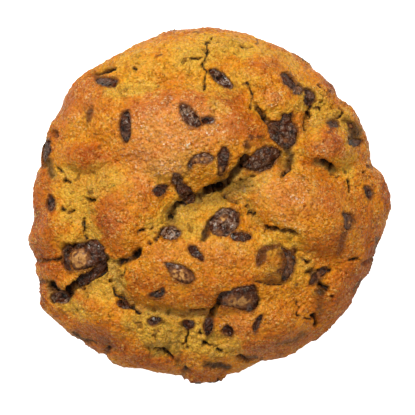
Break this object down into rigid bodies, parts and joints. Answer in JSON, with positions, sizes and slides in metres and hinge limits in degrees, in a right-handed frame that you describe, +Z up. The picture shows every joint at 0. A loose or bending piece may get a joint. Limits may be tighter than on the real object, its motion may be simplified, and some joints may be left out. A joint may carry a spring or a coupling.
{
  "type": "chocolate chip cookie",
  "caption": "Thick round bakery cookie with a lumpy, cracked golden crust, chocolate chips set into its top, rim and base, and a flat base to rest on.",
  "frame": {"origin": "on the table under the middle of the cookie: the centre of its outline in X and Y, at the height of its flat base", "axes": "+Z up out of the table through the cookie's thickness, +X to the right and +Y away as the cookie lies in a view from straight above"},
  "size_m": [0.0959, 0.0942, 0.028],
  "materials": {
    "baked_dough": "baked cookie crust, golden orange with browner edges, dry and crumbly",
    "chocolate": "dark chocolate, melted and set again, half glossy with a thin grey bloom"
  },
  "bodies": {
    "root": {"baked_dough": "baked_dough", "top_chip_01": "chocolate", "top_chip_02": "chocolate", "top_chip_03": "chocolate", "top_chip_04": "chocolate", "top_chip_05": "chocolate", "top_chip_06": "chocolate", "top_chip_07": "chocolate", "top_chip_08": "chocolate", "top_chip_09": "chocolate", "top_chip_10": "chocolate", "top_chip_11": "chocolate", "top_chip_12": "chocolate", "top_chip_13": "chocolate", "top_chip_14": "chocolate", "top_chip_15": "chocolate", "top_chip_16": "chocolate", "top_chip_17": "chocolate", "top_chip_18": "chocolate", "top_chip_19": "chocolate", "top_chip_20": "chocolate", "top_chip_21": "chocolate", "top_chip_22": "chocolate", "top_chip_23": "chocolate", "top_chip_24": "chocolate", "top_chip_25": "chocolate", "top_chip_26": "chocolate", "top_chip_27": "chocolate", "top_chip_28": "chocolate", "top_chip_29": "chocolate", "top_chip_30": "chocolate", "top_chip_31": "chocolate", "top_chip_32": "chocolate", "top_chip_33": "chocolate", "top_chip_34": "chocolate", "top_chip_35": "chocolate", "top_chip_36": "chocolate", "top_chip_37": "chocolate", "top_chip_38": "chocolate", "top_chip_39": "chocolate", "top_chip_40": "chocolate", "rim_chip_01": "chocolate", "rim_chip_02": "chocolate", "rim_chip_03": "chocolate", "rim_chip_04": "chocolate", "rim_chip_05": "chocolate", "rim_chip_06": "chocolate", "rim_chip_07": "chocolate", "rim_chip_08": "chocolate", "base_chip_01": "chocolate", "base_chip_02": "chocolate", "base_chip_03": "chocolate", "base_chip_04": "chocolate", "base_chip_05": "chocolate", "base_chip_06": "chocolate"}
  },
  "joints": []
}
